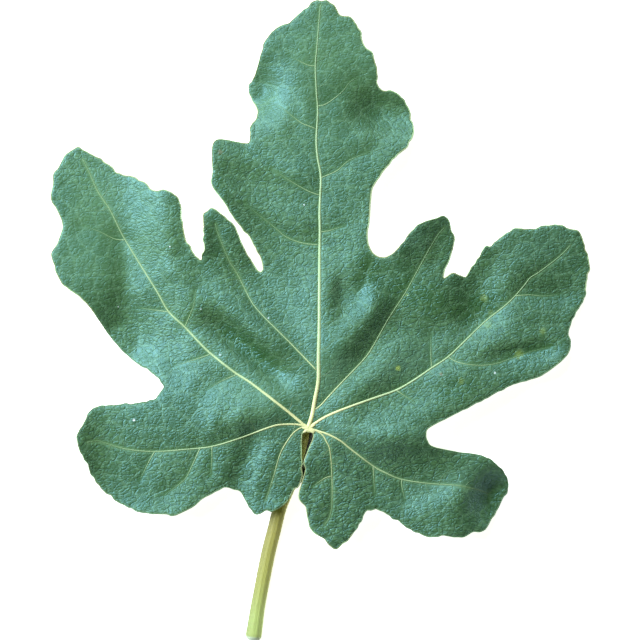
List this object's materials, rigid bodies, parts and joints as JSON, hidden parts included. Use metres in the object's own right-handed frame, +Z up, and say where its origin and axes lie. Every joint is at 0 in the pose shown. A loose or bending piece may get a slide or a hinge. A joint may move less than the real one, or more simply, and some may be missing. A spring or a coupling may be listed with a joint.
{
  "type": "fig leaf",
  "caption": "Broad lobed leaf with rounded waved lobes, a folded blade over raised ribs, and a cut stalk, lying flat on small flat spots of its margin.",
  "frame": {"origin": "middle of the leaf's box, on the surface that it lies on", "axes": "+Z up from the surface, +Y from the stalk's cut end towards the tip of the centre lobe, +X to the leaf's right as seen from above"},
  "size_m": [0.1794, 0.2132, 0.0148],
  "materials": {
    "blade_green": "waxy, half-matt blade with a blue-green sheen",
    "rib_yellow_green": "matt, finely haired stalk and ribs"
  },
  "bodies": {
    "root": {"leaf_blade": "blade_green", "stalk_and_ribs": "rib_yellow_green"}
  },
  "joints": []
}
